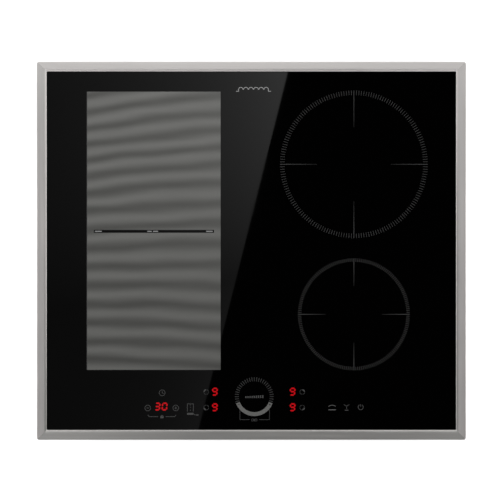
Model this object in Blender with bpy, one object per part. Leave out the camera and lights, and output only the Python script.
"""Built-in induction cooktop with one flex zone and two round zones, as separate solid sub-parts.

Metres, +Z up. The origin is the centre of the housing's underside, +X points to the cook's right and
+Y away from the cook. The cooktop drops into a worktop cut-out: its steel trim rests on the worktop
through a foam seal, and four brackets on the housing's sides clamp the worktop from below.
"""

import math

import bmesh
import bpy
from mathutils import Matrix, Vector

# Driving dimensions
FRAME_WIDTH = 0.590
FRAME_DEPTH = 0.520
WORKTOP_PLANE = 0.056  # the worktop's top face, above the housing's underside
FRAME_RISE = 0.006  # the trim's top face, above the worktop
GAP = 0.0003  # between pieces that touch

# Steel trim, as insets from its outer edge and heights above the worktop
TRIM_SHEET = 0.0008
TRIM_FACE = 0.0137
TRIM_SLOPE = 0.0030
TRIM_SLOPE_DROP = 0.0006
TRIM_CORNER = 0.0035
TRIM_LEDGE = 0.0098
TRIM_LEDGE_TOP = 0.0009

# Glass-ceramic plate
GLASS_INSET = TRIM_FACE + GAP
GLASS_THICKNESS = 0.004
GLASS_BOTTOM = WORKTOP_PLANE + TRIM_LEDGE_TOP + GAP
GLASS_TOP = GLASS_BOTTOM + GLASS_THICKNESS
GLASS_ARRIS = 0.0004

# Sheet-steel housing
HOUSING_HALF_X = 0.278
HOUSING_HALF_Y = 0.243
HOUSING_TOP = 0.0545
HOUSING_CORNER = 0.006
SHEET = 0.001
POST_TOP = 0.0077
BOARD_BOTTOM = POST_TOP + GAP
BOARD_THICKNESS = 0.0016
BOARD_TOP = BOARD_BOTTOM + BOARD_THICKNESS

# Cooking zones: centres seen from above
FLEX_CENTRE = (-0.135, 0.028)
FLEX_COIL_OFFSET = 0.095
REAR_CENTRE = (0.1415, 0.119)
FRONT_CENTRE = (0.1415, -0.0875)

# Coil stack, from the tray up to the glass
TRAY_PLATE = 0.0015
TRAY_BOTTOM = 0.0425
TRAY_TOP = TRAY_BOTTOM + TRAY_PLATE
TRAY_FLANGE = 0.005
CARRIER_BOTTOM = TRAY_TOP + GAP
CARRIER_FLOOR = 0.0062
CARRIER_RIM = 0.0025
CARRIER_HOLE = 0.009
COIL_BOTTOM = CARRIER_BOTTOM + CARRIER_FLOOR + GAP
COIL_THICKNESS = 0.005
MICA_THICKNESS = 0.0008
MICA_TOP = GLASS_BOTTOM - GAP
MICA_BOTTOM = MICA_TOP - MICA_THICKNESS
SENSOR_RADIUS = 0.008
MICA_HOLE = 0.010
TRAY_HOLE = 0.012
REAR_COIL = (0.027, 0.092)  # inner and outer radius
FRONT_COIL = (0.022, 0.068)
FLEX_COIL_INNER = (0.026, 0.028)  # half sizes of the rounded rectangles
FLEX_COIL_OUTER = (0.087, 0.089)

# Tray springs
SPRING_RADIUS = 0.0055
SPRING_WALL = 0.0015
SPRINGS = {
    "left": [(-0.223, 0.213), (-0.047, 0.213), (-0.135, -0.160)],
    "right": [(0.050, 0.215), (0.233, 0.163), (0.1415, -0.162)],
}
TRAYS = {
    "left": ((-0.232, -0.168), (-0.038, 0.223)),
    "right": ((0.0415, -0.170), (0.2415, 0.225)),
}

# Cooling fans
FAN_CENTRES = {"left": (-0.175, 0.184), "right": (0.098, 0.184)}
FAN_HALF = 0.040
FAN_TOP = 0.032
FAN_CHAMBER = 0.0365
FAN_INLET = 0.029
IMPELLER_RADIUS = 0.033
BLADES = 16

# Electronics
POWER_BOARDS = {
    "left": ((-0.262, -0.146), (-0.025, 0.136)),
    "right": ((-0.012, -0.146), (0.155, 0.136)),
}
FILTER_BOARD = ((0.165, 0.050), (0.262, 0.145))
HEATSINK_WIDTH = 0.070
HEATSINK_Y = (-0.060, 0.130)
HEATSINK_TOP = 0.032
FINS = 11
TRANSISTOR_Y = (0.085, -0.010)
CHOKE_CENTRE = (0.195, 0.098)
CHOKE_RADII = (0.008, 0.020)
CHOKE_HEIGHT = 0.016
CONTROL_BOARD = ((-0.160, -0.231), (0.166, -0.181))
CONTROL_BOARD_BOTTOM = 0.0495
TIMER_CENTRE = (-0.124, -0.2145)
ZONE_DISPLAYS = {
    "left_rear": (-0.050, -0.194),
    "left_front": (-0.050, -0.2155),
    "right_rear": (0.057, -0.194),
    "right_front": (0.057, -0.2155),
}

# Mains terminal recess in the housing's rear right corner, and its hinged cover
RECESS_X = (0.160, 0.262)
RECESS_Y = 0.178
RECESS_TOP = 0.030
COVER_WALL = 0.002
COVER_LOW = 0.0006
COVER_REAR = HOUSING_HALF_Y - 0.0005
HINGE_Y = 0.1815
HINGE_Z = 0.003
PIN_RADIUS = 0.00125
CABLE_X = 0.211
CABLE_Z = 0.015
CABLE_HOLE = 0.010
CABLE_BORE = 0.007

# Worktop clamps
CLAMP_Y = 0.150
CLAMP_WIDTH = 0.024
CLAMP_SHEET = 0.0015
CLAMP_FOOT_TOP = 0.022
CLAMP_FOOT_BOTTOM = 0.0025
CLAMP_REACH = 0.293
CLAMP_TRAVEL = (-0.002, 0.006)
SCREW_Z = 0.0125
SCREW_RADIUS = 0.002
SCREW_HEAD = 0.0042

MATERIALS = {
    "steel": ((0.60, 0.59, 0.58), 1.0, 0.32),
    "glass": ((0.006, 0.006, 0.006), 0.0, 0.05),
    "foam": ((0.03, 0.03, 0.03), 0.0, 0.95),
    "galvanised": ((0.55, 0.57, 0.58), 1.0, 0.45),
    "plastic_black": ((0.02, 0.02, 0.02), 0.0, 0.55),
    "plastic_cream": ((0.70, 0.66, 0.55), 0.0, 0.55),
    "board": ((0.02, 0.14, 0.06), 0.0, 0.45),
    "display": ((0.10, 0.01, 0.01), 0.0, 0.30),
    "copper": ((0.62, 0.27, 0.12), 1.0, 0.38),
    "mica": ((0.62, 0.58, 0.50), 0.0, 0.60),
    "silicone": ((0.85, 0.84, 0.80), 0.0, 0.70),
    "aluminium": ((0.72, 0.73, 0.74), 1.0, 0.35),
    "rubber": ((0.02, 0.02, 0.02), 0.0, 0.80),
}


def clear_scene():
    for obj in list(bpy.data.objects):
        bpy.data.objects.remove(obj, do_unlink=True)


def make_materials():
    """One Principled material for each entry of MATERIALS."""
    made = {}
    for name, (colour, metallic, roughness) in MATERIALS.items():
        material = bpy.data.materials.new(name)
        material.use_nodes = True
        shader = material.node_tree.nodes["Principled BSDF"]
        shader.inputs["Base Color"].default_value = (*colour, 1.0)
        shader.inputs["Metallic"].default_value = metallic
        shader.inputs["Roughness"].default_value = roughness
        made[name] = material
    return made


# ---------------------------------------------------------------- outlines


def circle(radius, height, centre=(0.0, 0.0), count=32):
    return [
        (centre[0] + radius * math.cos(2 * math.pi * i / count),
         centre[1] + radius * math.sin(2 * math.pi * i / count),
         height)
        for i in range(count)
    ]


def rounded_rectangle(half_x, half_y, radius, height, centre=(0.0, 0.0), steps=4):
    """A closed loop whose corners are arcs of the given number of steps."""
    points = []
    for quarter, (sx, sy) in enumerate([(1, 1), (-1, 1), (-1, -1), (1, -1)]):
        cx = centre[0] + sx * (half_x - radius)
        cy = centre[1] + sy * (half_y - radius)
        for i in range(steps + 1):
            angle = math.pi / 2 * (quarter + i / steps)
            points.append((cx + radius * math.cos(angle), cy + radius * math.sin(angle), height))
    return points


def inset_frame(inset, height, corner=TRIM_CORNER):
    """The trim's outline moved inwards by inset."""
    return rounded_rectangle(
        FRAME_WIDTH / 2 - inset, FRAME_DEPTH / 2 - inset, max(corner - inset, GAP), height
    )


# ---------------------------------------------------------------- mesh builders


def bridge(bm, first, second):
    count = len(first)
    for i in range(count):
        j = (i + 1) % count
        bm.faces.new((first[i], first[j], second[j], second[i]))


def add_stack(bm, loops):
    """A solid through the loops, capped at its two ends."""
    rings = [[bm.verts.new(p) for p in loop] for loop in loops]
    for first, second in zip(rings, rings[1:]):
        bridge(bm, first, second)
    bm.faces.new(rings[0])
    bm.faces.new(rings[-1])


def add_ring(bm, loops):
    """A solid ring whose section passes through the loops and closes on itself."""
    rings = [[bm.verts.new(p) for p in loop] for loop in loops]
    for first, second in zip(rings, rings[1:] + rings[:1]):
        bridge(bm, first, second)


def add_box(bm, low, high):
    (x0, y0, z0), (x1, y1, z1) = low, high
    outline = [(x0, y0), (x1, y0), (x1, y1), (x0, y1)]
    add_stack(bm, [[(x, y, z) for x, y in outline] for z in (z0, z1)])


def finish(name, bm, material=None):
    """Makes the mesh an object with its faces pointing out."""
    bmesh.ops.recalc_face_normals(bm, faces=bm.faces)
    mesh = bpy.data.meshes.new(name)
    bm.to_mesh(mesh)
    bm.free()
    obj = bpy.data.objects.new(name, mesh)
    bpy.context.scene.collection.objects.link(obj)
    if material:
        mesh.materials.append(material)
    return obj


def smooth(obj, angle=math.radians(35)):
    obj.data.shade_smooth()
    obj.data.set_sharp_from_angle(angle=angle)
    return obj


def stack(name, loops, material=None):
    bm = bmesh.new()
    add_stack(bm, loops)
    return finish(name, bm, material)


def ring(name, loops, material=None):
    bm = bmesh.new()
    add_ring(bm, loops)
    return finish(name, bm, material)


def boxes(name, corners, material=None):
    bm = bmesh.new()
    for low, high in corners:
        add_box(bm, low, high)
    return finish(name, bm, material)


def box(name, low, high, material=None):
    return boxes(name, [(low, high)], material)


def turned(name, profile, material, count=32, centre=(0.0, 0.0)):
    """A ring turned about the vertical through centre, from a closed list of (radius, height)."""
    return smooth(ring(name, [circle(r, z, centre, count) for r, z in profile], material))


def turned_solid(name, profile, material, count=24, centre=(0.0, 0.0)):
    """A turned solid with flat ends, from (radius, height) listed bottom to top."""
    return smooth(stack(name, [circle(r, z, centre, count) for r, z in profile], material))


def helper(obj):
    """Marks a cutter or a joining shape, which isn't a piece of the cooktop."""
    obj.hide_render = True
    obj.display_type = "WIRE"
    return obj


def combine(obj, other, operation):
    modifier = obj.modifiers.new(other.name, "BOOLEAN")
    modifier.operation = operation
    modifier.solver = "EXACT"
    modifier.object = helper(other)
    return obj


def cut(obj, cutter):
    return combine(obj, cutter, "DIFFERENCE")


def join(obj, other):
    return combine(obj, other, "UNION")


def move_origin(obj, point):
    """Puts the object's origin on point without moving its mesh."""
    obj.data.transform(Matrix.Translation(-Vector(point)))
    obj.location = point
    return obj


def joint_empty(name, point):
    empty = bpy.data.objects.new(name, None)
    empty.location = point
    bpy.context.scene.collection.objects.link(empty)
    return empty


def hang(obj, empty):
    """Parents the object to a joint's empty, keeping it in place."""
    obj.parent = empty
    obj.location = obj.location - empty.location
    return obj


# ---------------------------------------------------------------- glass, trim and seal


def make_trim_frame(materials):
    """A folded sheet: skirt, flat face, slope down to the glass, and the ledge that carries it."""
    top = FRAME_RISE
    under = top - TRIM_SHEET
    slope_start = TRIM_FACE - TRIM_SLOPE
    slope_end = top - TRIM_SLOPE_DROP
    inner = TRIM_FACE - TRIM_SHEET
    ledge_in = TRIM_FACE + TRIM_LEDGE
    ledge_under = TRIM_LEDGE_TOP - TRIM_SHEET
    section = [
        (0.0, GAP),
        (0.0, top - 0.0011),
        (0.00035, top - 0.00035),
        (0.0012, top),
        (slope_start, top),
        (TRIM_FACE - 0.0002, slope_end),
        (TRIM_FACE, slope_end - 0.0002),
        (TRIM_FACE, TRIM_LEDGE_TOP),
        (ledge_in, TRIM_LEDGE_TOP),
        (ledge_in, ledge_under),
        (inner, ledge_under),
        (inner, slope_end - TRIM_SHEET),
        (slope_start - 0.0001, under),
        (0.0014, under),
        (TRIM_SHEET, under - 0.0006),
        (TRIM_SHEET, GAP),
    ]
    loops = [inset_frame(inset, WORKTOP_PLANE + height) for inset, height in section]
    return smooth(ring("trim_frame", loops, materials["steel"]), math.radians(30))


def make_glass(materials):
    """The plate, with ground arrises top and bottom."""
    corner = 0.0012 + GLASS_INSET
    loops = [
        inset_frame(GLASS_INSET + GLASS_ARRIS, GLASS_BOTTOM, corner),
        inset_frame(GLASS_INSET, GLASS_BOTTOM + GLASS_ARRIS, corner),
        inset_frame(GLASS_INSET, GLASS_TOP - GLASS_ARRIS, corner),
        inset_frame(GLASS_INSET + GLASS_ARRIS, GLASS_TOP, corner),
    ]
    return stack("glass_panel", loops, materials["glass"])


def make_worktop_seal(materials):
    """Foam strip in the trim's channel, squeezed to the worktop plane."""
    outer, inner = 0.0016, 0.0121
    low, high = WORKTOP_PLANE, WORKTOP_PLANE + 0.0025
    section = [(outer, low), (outer, high), (inner, high), (inner, low)]
    return ring("worktop_seal", [inset_frame(i, z) for i, z in section], materials["foam"])


def make_support_rail(materials):
    """Angle-section ring under the trim's ledge, which the housing is screwed to."""
    outer = FRAME_WIDTH / 2 - HOUSING_HALF_X + SHEET + GAP
    inner = outer + 0.0087
    top = WORKTOP_PLANE - 0.0002
    under = top - SHEET
    low = top - 0.014
    section = [(outer, low), (outer, top), (inner, top), (inner, under)]
    section += [(outer + SHEET, under), (outer + SHEET, low)]
    corner = HOUSING_CORNER + outer
    loops = [inset_frame(inset, z, corner) for inset, z in section]
    return ring("support_rail", loops, materials["galvanised"])


# ---------------------------------------------------------------- housing


def housing_outline(inset, height):
    return rounded_rectangle(
        HOUSING_HALF_X - inset, HOUSING_HALF_Y - inset, HOUSING_CORNER - inset, height, steps=3
    )


def recess_box(name, grow):
    """The terminal recess, open below and behind, grown by the sheet for its inner side."""
    low = (RECESS_X[0] - grow, RECESS_Y - grow, -0.005)
    high = (RECESS_X[1] + grow, HOUSING_HALF_Y + 0.007, RECESS_TOP + grow)
    return box(name, low, high)


def board_posts():
    """Square pressed posts under the corners of the three boards."""
    half = 0.0035
    edge = 0.006
    posts = []
    for low, high in [*POWER_BOARDS.values(), FILTER_BOARD]:
        for x in (low[0] + edge, high[0] - edge):
            for y in (low[1] + edge, high[1] - edge):
                posts.append(((x - half, y - half, SHEET / 2), (x + half, y + half, POST_TOP)))
    return posts


def floor_slots():
    """Air slots in the housing's floor: a round grille under each fan, and two outlet rows in front."""
    half_width = 0.002
    slots = []
    for cx, cy in FAN_CENTRES.values():
        pitch = 0.009
        for k in range(-3, 4):
            half_length = math.sqrt(FAN_INLET**2 - (pitch * k) ** 2)
            slots.append((cx + pitch * k, cy, half_width, half_length))
    for y, half_length, count in ((-0.205, 0.017, 21), (-0.164, 0.012, 13)):
        for k in range(count):
            x = 0.012 * (k - (count - 1) / 2)
            slots.append((x, y, half_width, half_length))
    return [((x - hx, y - hy, -0.002), (x + hx, y + hy, 0.003)) for x, y, hx, hy in slots]


def wall_slots():
    """Upright air slots in the side walls and the rear wall."""
    half_width = 0.0016
    low, high = 0.023, 0.040
    reach = 0.004
    slots = []
    for side in (-1, 1):
        x = side * HOUSING_HALF_X
        for k in range(-4, 5):
            y = 0.012 * k
            slots.append(((x - reach, y - half_width, low), (x + reach, y + half_width, high)))
    for k in range(9):
        x = -0.068 + 0.012 * k
        y = HOUSING_HALF_Y
        slots.append(((x - half_width, y - reach, low), (x + half_width, y + reach, high)))
    return slots


def clamp_places():
    """(name, side, y) of each worktop clamp."""
    return [
        (f"{side_name}_{end_name}", side, end * CLAMP_Y)
        for side_name, side in (("left", -1), ("right", 1))
        for end_name, end in (("front", -1), ("rear", 1))
    ]


def screw_holes():
    """Holes for the clamp screws through the side walls."""
    bm = bmesh.new()
    for _, side, y in clamp_places():
        loops = []
        for x in (side * (HOUSING_HALF_X - 0.004), side * (HOUSING_HALF_X + 0.004)):
            loops.append([(x, y + a, SCREW_Z + b) for a, b, _ in circle(SCREW_RADIUS + GAP, 0.0, count=12)])
        add_stack(bm, loops)
    return finish("clamp_screw_holes", bm)


def make_housing(materials):
    """Sheet-metal pan: a rounded box, hollowed, with the terminal recess, board posts and air slots."""
    pan = stack("bottom_housing", [housing_outline(0.0, 0.0), housing_outline(0.0, HOUSING_TOP)],
                materials["galvanised"])
    cut(pan, recess_box("terminal_recess", 0.0))
    inside = stack("housing_inside", [housing_outline(SHEET, SHEET), housing_outline(SHEET, 0.060)])
    cut(inside, recess_box("terminal_recess_sheet", SHEET))
    cut(pan, inside)
    join(pan, boxes("board_posts", board_posts()))
    cut(pan, boxes("floor_slots", floor_slots()))
    cut(pan, boxes("wall_slots", wall_slots()))
    cut(pan, screw_holes())
    return pan


# ---------------------------------------------------------------- coils on their sprung trays


def make_tray(side, materials):
    """Aluminium plate with edges folded down, and a wire hole under each coil's centre."""
    (x0, y0), (x1, y1) = TRAYS[side]
    low = TRAY_BOTTOM - TRAY_FLANGE
    tray = box(f"coil_tray_{side}", (x0, y0, low), (x1, y1, TRAY_TOP), materials["aluminium"])
    t = TRAY_PLATE
    cut(tray, box(f"tray_hollow_{side}", (x0 + t, y0 + t, low - 0.01), (x1 - t, y1 - t, TRAY_BOTTOM)))
    bm = bmesh.new()
    for centre in coil_centres(side):
        add_stack(bm, [circle(TRAY_HOLE, z, centre, 20) for z in (TRAY_BOTTOM - 0.002, TRAY_TOP + 0.002)])
    cut(tray, finish(f"tray_wire_holes_{side}", bm))
    return tray


def coil_centres(side):
    if side == "right":
        return [REAR_CENTRE, FRONT_CENTRE]
    x, y = FLEX_CENTRE
    return [(x, y + FLEX_COIL_OFFSET), (x, y - FLEX_COIL_OFFSET)]


def make_mica(side, materials):
    """Insulating sheet over the coils, with a hole for each temperature sensor."""
    (x0, y0), (x1, y1) = TRAYS[side]
    edge = 0.003
    sheet = box(f"mica_sheet_{side}", (x0 + edge, y0 + edge, MICA_BOTTOM), (x1 - edge, y1 - edge, MICA_TOP),
                materials["mica"])
    bm = bmesh.new()
    for centre in coil_centres(side):
        add_stack(bm, [circle(MICA_HOLE, z, centre, 20) for z in (MICA_BOTTOM - 0.002, MICA_TOP + 0.002)])
    cut(sheet, finish(f"sensor_holes_{side}", bm))
    return sheet


def make_round_coil(name, centre, radii, materials):
    """Litz winding in its dished carrier."""
    inner, outer = radii
    top = COIL_BOTTOM + COIL_THICKNESS
    section = [(inner, COIL_BOTTOM), (outer, COIL_BOTTOM), (outer, top), (inner, top)]
    winding = turned(f"coil_winding_{name}", section, materials["copper"], 32, centre)
    floor = CARRIER_BOTTOM + CARRIER_FLOOR
    rim = floor + CARRIER_RIM
    dish = [
        (CARRIER_HOLE, CARRIER_BOTTOM),
        (outer + 0.003, CARRIER_BOTTOM),
        (outer + 0.004, rim),
        (outer + 0.002, rim),
        (outer + 0.002, floor),
        (CARRIER_HOLE, floor),
    ]
    carrier = turned(f"coil_carrier_{name}", dish, materials["plastic_black"], 32, centre)
    return [winding, carrier]


def make_flex_coil(name, centre, materials):
    """Rounded rectangular litz winding in its dished carrier."""
    def loop(half, radius, height):
        return rounded_rectangle(half[0], half[1], radius, height, centre, steps=5)

    def grown(amount):
        return (FLEX_COIL_OUTER[0] + amount, FLEX_COIL_OUTER[1] + amount)

    inner_corner, outer_corner = 0.016, 0.050
    top = COIL_BOTTOM + COIL_THICKNESS
    winding = ring(
        f"coil_winding_{name}",
        [
            loop(FLEX_COIL_INNER, inner_corner, COIL_BOTTOM),
            loop(FLEX_COIL_OUTER, outer_corner, COIL_BOTTOM),
            loop(FLEX_COIL_OUTER, outer_corner, top),
            loop(FLEX_COIL_INNER, inner_corner, top),
        ],
        materials["copper"],
    )
    floor = CARRIER_BOTTOM + CARRIER_FLOOR
    rim = floor + CARRIER_RIM
    hole = (CARRIER_HOLE, CARRIER_HOLE)
    hole_corner = CARRIER_HOLE - 0.0005
    carrier = ring(
        f"coil_carrier_{name}",
        [
            loop(hole, hole_corner, CARRIER_BOTTOM),
            loop(grown(0.003), outer_corner, CARRIER_BOTTOM),
            loop(grown(0.004), outer_corner, rim),
            loop(grown(0.002), outer_corner, rim),
            loop(grown(0.002), outer_corner, floor),
            loop(hole, hole_corner, floor),
        ],
        materials["plastic_black"],
    )
    return [smooth(winding), smooth(carrier)]


def make_sensor(name, centre, materials):
    """Silicone-capped temperature sensor, pressed to the glass through the mica."""
    stem, flange, seat = 0.006, 0.011, COIL_BOTTOM
    profile = [(stem, CARRIER_BOTTOM + 0.001), (stem, seat), (flange, seat), (flange, seat + 0.001)]
    profile += [(SENSOR_RADIUS, seat + 0.001), (SENSOR_RADIUS, MICA_TOP - 0.0008)]
    profile.append((SENSOR_RADIUS - 0.0015, MICA_TOP))
    return turned_solid(f"temperature_sensor_{name}", profile, materials["silicone"], 16, centre)


def make_coil_group(side, materials):
    """Everything that the springs hold up against the glass on one side."""
    (x0, y0), (x1, y1) = TRAYS[side]
    empty = joint_empty(f"coil_tray_{side}_travel", ((x0 + x1) / 2, (y0 + y1) / 2, TRAY_BOTTOM))
    rear, front = coil_centres(side)
    pieces = [make_tray(side, materials), make_mica(side, materials)]
    if side == "left":
        pieces += make_flex_coil("flex_rear", rear, materials)
        pieces += make_flex_coil("flex_front", front, materials)
        names = ("flex_rear", "flex_front")
    else:
        pieces += make_round_coil("right_rear", rear, REAR_COIL, materials)
        pieces += make_round_coil("right_front", front, FRONT_COIL, materials)
        names = ("right_rear", "right_front")
    pieces += [make_sensor(name, centre, materials) for name, centre in zip(names, (rear, front))]
    for piece in pieces:
        hang(piece, empty)


def make_springs(side, materials):
    """Compression springs between the housing's floor and the tray, each as its tubular envelope."""
    outer, inner = SPRING_RADIUS, SPRING_RADIUS - SPRING_WALL
    low, high = SHEET + GAP, TRAY_BOTTOM - GAP
    section = [(inner, low), (outer, low), (outer, high), (inner, high)]
    for number, centre in enumerate(SPRINGS[side], start=1):
        turned(f"tray_spring_{side}_{number}", section, materials["steel"], 14, centre)


# ---------------------------------------------------------------- fans


def make_fan_housing(side, materials):
    """Snail housing, open below over the floor grille, with its outlet towards the heatsink."""
    cx, cy = FAN_CENTRES[side]
    low = SHEET + GAP
    wall = 0.002
    corners = ((cx - FAN_HALF, cy - FAN_HALF, low), (cx + FAN_HALF, cy + FAN_HALF, FAN_TOP))
    block = box(f"fan_housing_{side}", *corners, materials["plastic_black"])
    roof = FAN_TOP - wall
    below = low - 0.005
    chamber = stack(f"fan_chamber_{side}", [circle(FAN_CHAMBER, z, (cx, cy), 32) for z in (below, roof)])
    outlet = ((cx - 0.030, cy - FAN_HALF - 0.005, below), (cx + FAN_CHAMBER - 0.0005, cy, roof))
    join(chamber, box(f"fan_outlet_{side}", *outlet))
    cut(block, chamber)
    boss = [(0.009, FAN_TOP - 0.001), (0.009, 0.016), (0.0018, 0.016), (0.0018, 0.010)]
    join(block, stack(f"fan_motor_boss_{side}", [circle(r, z, (cx, cy), 20) for r, z in boss]))
    return block


def make_impeller(side, materials):
    """Hub cup over the motor, back plate, forward-curved blades and a tie ring, in one moulding."""
    centre = FAN_CENTRES[side]
    tie_low, tie_high = 0.006, 0.008
    plate_low, plate_high = 0.0265, 0.028
    hub_profile = [
        (0.0023, 0.0075), (0.0125, 0.0075), (0.0135, plate_low), (IMPELLER_RADIUS, plate_low),
        (IMPELLER_RADIUS, plate_high), (0.0105, plate_high), (0.0105, 0.0145), (0.0023, 0.0145),
    ]
    impeller = turned(f"fan_impeller_{side}", hub_profile, materials["plastic_black"], 32, centre)
    impeller.data.materials[0] = materials["plastic_cream"]
    bm = bmesh.new()
    for k in range(BLADES):
        add_stack(bm, blade_loops(centre, 2 * math.pi * k / BLADES, tie_low + 0.0005, plate_low + 0.0005))
    join(impeller, finish(f"impeller_blades_{side}", bm))
    tie = [(0.0308, tie_low), (IMPELLER_RADIUS, tie_low), (IMPELLER_RADIUS, tie_high), (0.0308, tie_high)]
    join(impeller, ring(f"impeller_tie_ring_{side}", [circle(r, z, centre, 32) for r, z in tie]))
    return move_origin(impeller, (*centre, plate_low))


def blade_loops(centre, start, low, high):
    """A thin curved blade from the inner to the outer radius, as two level outlines."""
    inner, outer = 0.0235, 0.0322
    half_thickness = 0.00045
    sweep = 0.18
    outline = []
    stations = [0.0, 0.5, 1.0]
    for sign, order in ((1, stations), (-1, stations[::-1])):
        for t in order:
            radius = inner + (outer - inner) * t
            angle = start + sweep * t * t + sign * half_thickness / radius
            outline.append((centre[0] + radius * math.cos(angle), centre[1] + radius * math.sin(angle)))
    return [[(x, y, z) for x, y in outline] for z in (low, high)]


# ---------------------------------------------------------------- electronics


def make_board(name, corners, bottom, materials):
    (x0, y0), (x1, y1) = corners
    return box(name, (x0, y0, bottom), (x1, y1, bottom + BOARD_THICKNESS), materials["board"])


def make_heatsink(side, materials):
    """Extruded aluminium comb, its fins along the air stream."""
    cx = FAN_CENTRES[side][0]
    low, base = BOARD_TOP + GAP, BOARD_TOP + GAP + 0.005
    y0, y1 = HEATSINK_Y
    left = cx - HEATSINK_WIDTH / 2
    pitch = HEATSINK_WIDTH / (FINS - 0.6)
    fin = 0.4 * pitch
    outline = [(left, low), (left + HEATSINK_WIDTH, low)]
    for k in reversed(range(FINS)):
        right_side = left + k * pitch + fin
        left_side = left + k * pitch
        if k < FINS - 1:
            outline.append((right_side, base))
        outline += [(right_side, HEATSINK_TOP), (left_side, HEATSINK_TOP)]
        if k > 0:
            outline.append((left_side, base))
    loops = [[(x, y, z) for x, z in outline] for y in (y0, y1)]
    return stack(f"heatsink_{side}", loops, materials["aluminium"])


def make_transistor(name, x_face, y, materials):
    """Power transistor clipped to the heatsink's right side, on three legs in the board."""
    body_low, body_high = 0.0125, 0.0305
    thickness, half_width = 0.0048, 0.0078
    far = x_face + thickness
    corners = ((x_face, y - half_width, body_low), (far, y + half_width, body_high))
    body = box(name, *corners, materials["plastic_black"])
    middle = (x_face + far) / 2
    leg_x, leg_y, leg_pitch = 0.0004, 0.0006, 0.0054
    legs = []
    for k in (-1, 0, 1):
        at = y + leg_pitch * k
        legs.append(((middle - leg_x, at - leg_y, BOARD_TOP + GAP), (middle + leg_x, at + leg_y, 0.015)))
    return join(body, boxes(f"{name}_legs", legs))


def make_power_unit(side, materials):
    make_board(f"power_board_{side}", POWER_BOARDS[side], BOARD_BOTTOM, materials)
    make_heatsink(side, materials)
    cx = FAN_CENTRES[side][0]
    face = cx + HEATSINK_WIDTH / 2 + GAP
    for number, y in enumerate(TRANSISTOR_Y, start=1):
        make_transistor(f"power_transistor_{side}_{number}", face, y, materials)


def make_filter(materials):
    """Mains filter board with its common-mode choke."""
    make_board("filter_board", FILTER_BOARD, BOARD_BOTTOM, materials)
    inner, outer = CHOKE_RADII
    low, high = BOARD_TOP + GAP, BOARD_TOP + GAP + CHOKE_HEIGHT
    round_off = 0.002
    profile = [(inner, low + round_off), (inner + round_off, low), (outer - round_off, low)]
    profile += [(outer, low + round_off), (outer, high - round_off), (outer - round_off, high)]
    profile += [(inner + round_off, high), (inner, high - round_off)]
    turned("filter_choke", profile, materials["copper"], 24, CHOKE_CENTRE)


def make_display(name, centre, digits, materials):
    """Seven-segment module on the control board, reaching up to the glass."""
    half_x, half_y = 0.0064 * digits, 0.0088
    low, high = CONTROL_BOARD_BOTTOM + BOARD_THICKNESS + GAP, GLASS_BOTTOM - GAP
    return stack(
        name,
        [
            rounded_rectangle(half_x, half_y, 0.0005, low, centre, steps=1),
            rounded_rectangle(half_x, half_y, 0.0005, high, centre, steps=1),
        ],
        materials["display"],
    )


def make_control_unit(materials):
    """Touch board in its plastic carrier, which stands on four legs."""
    (x0, y0), (x1, y1) = CONTROL_BOARD
    make_board("control_board", CONTROL_BOARD, CONTROL_BOARD_BOTTOM, materials)
    wall, rise = 0.002, 0.0015
    floor_top = CONTROL_BOARD_BOTTOM - GAP
    outer_low, outer_high = (x0 - wall - GAP, y0 - wall - GAP), (x1 + wall + GAP, y1 + wall + GAP)
    carrier = box("control_carrier", (*outer_low, floor_top - 0.003),
                  (*outer_high, CONTROL_BOARD_BOTTOM + BOARD_THICKNESS + rise), materials["plastic_black"])
    hollow = ((x0 - GAP, y0 - GAP, floor_top), (x1 + GAP, y1 + GAP, WORKTOP_PLANE))
    cut(carrier, box("control_carrier_hollow", *hollow))
    leg = 0.008
    legs = [
        ((x, y, SHEET + GAP), (x + leg, y + leg, floor_top - 0.001))
        for x in (outer_low[0] + 0.001, outer_high[0] - 0.001 - leg)
        for y in (outer_low[1] + 0.001, outer_high[1] - 0.001 - leg)
    ]
    join(carrier, boxes("control_carrier_legs", legs))
    make_display("timer_display", TIMER_CENTRE, 2, materials)
    for place, centre in ZONE_DISPLAYS.items():
        make_display(f"zone_display_{place}", centre, 1, materials)


# ---------------------------------------------------------------- mains terminal


def lying_circle(radius, x, y, z, count):
    """A circle in the plane across X."""
    return [(x, y + a, z + b) for a, b, _ in circle(radius, 0.0, count=count)]


def hinge_rod(name, radius, ends, count=16, material=None):
    """A rod along the cover's hinge axis."""
    return stack(name, [lying_circle(radius, x, HINGE_Y, HINGE_Z, count) for x in ends], material)


def make_terminal_block(materials):
    """Five-way screw terminal under the recess's roof, wire mouths towards the cable inlet."""
    half_width = 0.030
    y0, y1 = 0.186, 0.208
    low, high = 0.0127, RECESS_TOP - GAP
    block = box("terminal_block", (CABLE_X - half_width, y0, low), (CABLE_X + half_width, y1, high),
                materials["plastic_cream"])
    pitch = 0.0115
    bm = bmesh.new()
    for k in range(-2, 3):
        x = CABLE_X + pitch * k
        add_box(bm, (x - 0.003, y1 - 0.009, high - 0.010), (x + 0.003, y1 + 0.004, high - 0.004))
    cut(block, finish("wire_mouths", bm))
    bm = bmesh.new()
    for k in range(-2, 3):
        centre = (CABLE_X + pitch * k, y0 + 0.007)
        add_stack(bm, [circle(0.0028, z, centre, 8) for z in (low - 0.003, low + 0.006)])
    cut(block, finish("screw_wells", bm))
    return block


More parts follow.
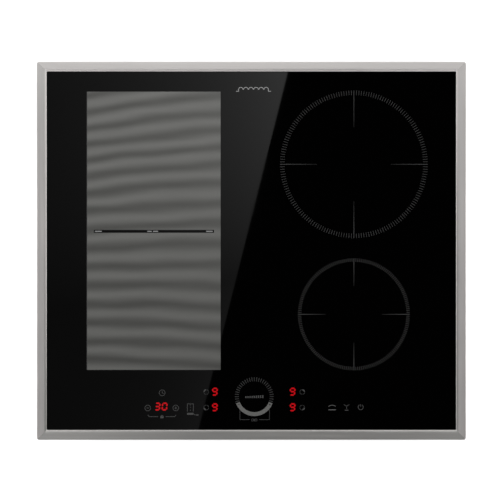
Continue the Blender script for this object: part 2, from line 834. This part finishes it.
def make_terminal_cover(materials):
    """Hinged cover: floor and rear wall in one moulding, with two knuckles round the hinge pin."""
    side_gap = 0.0006
    x0, x1 = RECESS_X[0] + side_gap, RECESS_X[1] - side_gap
    front = HINGE_Y + PIN_RADIUS + 2 * GAP
    cover = box("terminal_cover", (x0, front, COVER_LOW), (x1, COVER_REAR, COVER_LOW + COVER_WALL),
                materials["plastic_black"])
    join(cover, box("cover_rear_wall", (x0, COVER_REAR - COVER_WALL, COVER_LOW + COVER_WALL / 2),
                    (x1, COVER_REAR, RECESS_TOP - 0.0005)))
    knuckle, half_length = HINGE_Z - COVER_LOW, 0.007
    for number, middle in enumerate((x0 + 0.022, x1 - 0.022), start=1):
        near, far = middle - half_length, middle + half_length
        join(cover, hinge_rod(f"cover_knuckle_{number}", knuckle, (near, far)))
        arm = ((near, HINGE_Y, COVER_LOW), (far, front + COVER_WALL, HINGE_Z + 0.0005))
        join(cover, box(f"cover_arm_{number}", *arm))
    cut(cover, hinge_rod("knuckle_eyes", PIN_RADIUS + GAP, (x0 - 0.010, x1 + 0.010)))
    cable = [[(CABLE_X + a, y, CABLE_Z + b) for a, b, _ in circle(CABLE_HOLE, 0.0, count=24)]
             for y in (COVER_REAR - 0.006, COVER_REAR + 0.004)]
    cut(cover, stack("cable_hole", cable))
    return smooth(cover)


def make_grommet(materials):
    """Rubber bush in the cover's cable hole, grooved over the wall."""
    groove, flange = CABLE_HOLE - GAP, 0.0120
    inner_y, outer_y = COVER_REAR - COVER_WALL - GAP, COVER_REAR + GAP
    lip = 0.0015
    profile = [(CABLE_BORE, inner_y - lip), (flange, inner_y - lip), (flange, inner_y), (groove, inner_y)]
    profile += [(groove, outer_y), (flange, outer_y), (flange - 0.001, outer_y + lip)]
    profile.append((CABLE_BORE, outer_y + lip))
    loops = [[(CABLE_X + a, y, CABLE_Z + b) for a, b, _ in circle(r, 0.0, count=24)] for r, y in profile]
    return smooth(ring("cable_grommet", loops, materials["rubber"]))


def make_cover_pin(materials):
    """Steel rod between the recess's side walls."""
    ends = (RECESS_X[0] + GAP, RECESS_X[1] - GAP)
    return smooth(hinge_rod("cover_hinge_pin", PIN_RADIUS, ends, 12, materials["steel"]))


def make_terminal(materials):
    make_terminal_block(materials)
    make_cover_pin(materials)
    hinge = joint_empty("terminal_cover_hinge", (CABLE_X, HINGE_Y, HINGE_Z))
    for piece in (make_terminal_cover(materials), make_grommet(materials)):
        hang(piece, hinge)


# ---------------------------------------------------------------- worktop clamps


def make_clamp(name, side, y, materials):
    """Slotted angle bracket on the housing's side, whose foot presses up on the worktop."""
    near = HOUSING_HALF_X + GAP
    far = near + CLAMP_SHEET
    half = CLAMP_WIDTH / 2
    under = CLAMP_FOOT_TOP - CLAMP_SHEET
    outline = [(near, CLAMP_FOOT_BOTTOM), (far, CLAMP_FOOT_BOTTOM), (far, under)]
    outline += [(CLAMP_REACH, under), (CLAMP_REACH, CLAMP_FOOT_TOP), (near, CLAMP_FOOT_TOP)]
    loops = [[(side * x, edge, z) for x, z in outline] for edge in (y - half, y + half)]
    bracket = stack(f"clamp_bracket_{name}", loops, materials["galvanised"])
    slot_half = SCREW_RADIUS + GAP
    slot = (SCREW_Z - CLAMP_TRAVEL[1] - slot_half, SCREW_Z - CLAMP_TRAVEL[0] + slot_half)
    x0, x1 = sorted((side * (near - 0.003), side * (far + 0.003)))
    cut(bracket, box(f"clamp_slot_{name}", (x0, y - slot_half, slot[0]), (x1, y + slot_half, slot[1])))
    return move_origin(bracket, (side * near, y, SCREW_Z))


def make_clamp_screw(name, side, y, materials):
    """Pan-head screw through the bracket's slot and the housing's wall."""
    head_at = HOUSING_HALF_X + 2 * GAP + CLAMP_SHEET
    stations = [(SCREW_RADIUS, HOUSING_HALF_X - 0.006), (SCREW_RADIUS, head_at)]
    stations += [(SCREW_HEAD, head_at), (SCREW_HEAD, head_at + 0.0014)]
    stations.append((SCREW_HEAD - 0.0012, head_at + 0.0024))
    loops = [lying_circle(r, side * x, y, SCREW_Z, 16) for r, x in stations]
    return smooth(stack(f"clamp_screw_{name}", loops, materials["steel"]))


def main():
    clear_scene()
    materials = make_materials()
    make_glass(materials)
    make_trim_frame(materials)
    make_worktop_seal(materials)
    make_support_rail(materials)
    make_housing(materials)
    make_control_unit(materials)
    for side in ("left", "right"):
        make_coil_group(side, materials)
        make_springs(side, materials)
        make_power_unit(side, materials)
        make_fan_housing(side, materials)
        make_impeller(side, materials)
    make_filter(materials)
    make_terminal(materials)
    for name, side, y in clamp_places():
        make_clamp(name, side, y, materials)
        make_clamp_screw(name, side, y, materials)


main()
